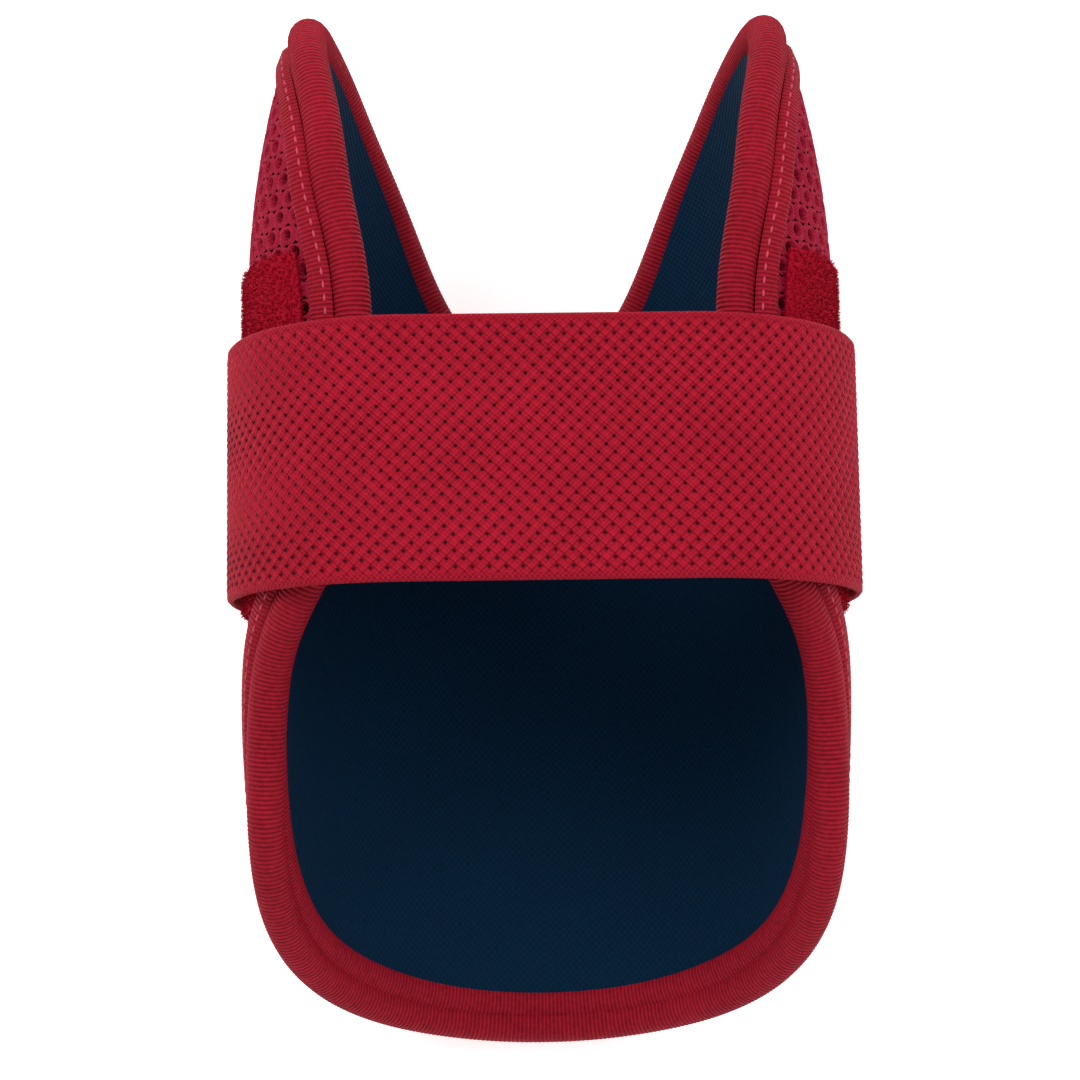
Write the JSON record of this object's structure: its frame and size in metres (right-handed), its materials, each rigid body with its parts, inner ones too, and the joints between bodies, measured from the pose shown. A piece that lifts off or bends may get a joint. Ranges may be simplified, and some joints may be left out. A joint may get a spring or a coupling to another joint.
{
  "type": "shin guard",
  "caption": "Padded wrap-round shin guard with a hard front, mesh-covered side wings, rolled ribbed binding and a wide elastic strap across the calf opening.",
  "frame": {"origin": "centre of the bounding box's bottom face, at the flat of the shell's two rails", "axes": "+X across the leg, +Y along the leg toward the ankle ears, +Z from the hard front toward the strap"},
  "size_m": [0.1252, 0.2098, 0.0971],
  "materials": {
    "elastic": "woven elastic",
    "binding": "ribbed knit",
    "mesh": "open spacer mesh",
    "loop_pile": "loop pile",
    "hook": "moulded hooks",
    "lining": "woven",
    "foam": "closed cell foam",
    "shell": "moulded satin"
  },
  "bodies": {
    "front": {"front_lining": "lining", "front_foam": "foam", "front_cover": "mesh", "notch_binding": "binding", "tongue_binding": "binding", "tongue_lip": "binding", "front_shell": "shell"},
    "right_wing": {"right_lining": "lining", "right_foam": "foam", "right_cover": "mesh", "right_binding": "binding", "right_edge_tape": "binding", "right_loop_patch": "loop_pile", "right_hook_tape": "hook", "right_strap_end": "elastic"},
    "left_wing": {"left_lining": "lining", "left_foam": "foam", "left_cover": "mesh", "left_binding": "binding", "left_edge_tape": "binding", "left_loop_patch": "loop_pile"},
    "strap": {"strap_span": "elastic"},
    "strap_tab": {"left_strap_end": "elastic", "left_hook_tape": "hook"}
  },
  "joints": [
    {"name": "right_wing_flex", "type": "hinge", "parent": "front", "child": "right_wing", "pos_m": [0.0556, 0, 0.0442], "axis": [0, 1, 0], "range_deg": [0, 10]},
    {"name": "left_wing_flex", "type": "hinge", "parent": "front", "child": "left_wing", "pos_m": [-0.0556, 0, 0.0442], "axis": [0, -1, 0], "range_deg": [0, 10]},
    {"name": "strap_swing", "type": "hinge", "parent": "right_wing", "child": "strap", "pos_m": [0.04988, 0.016, 0.08877], "axis": [0, 1, 0], "range_deg": [0, 150]},
    {"name": "tab_peel", "type": "hinge", "parent": "strap", "child": "strap_tab", "pos_m": [-0.04988, 0.016, 0.08877], "axis": [0, 1, 0], "range_deg": [0, 70]}
  ],
  "couplings": [
    {"joint": "right_wing_flex", "follows": "strap_swing", "ratio": 0.06},
    {"joint": "left_wing_flex", "follows": "strap_swing", "ratio": 0.06}
  ]
}
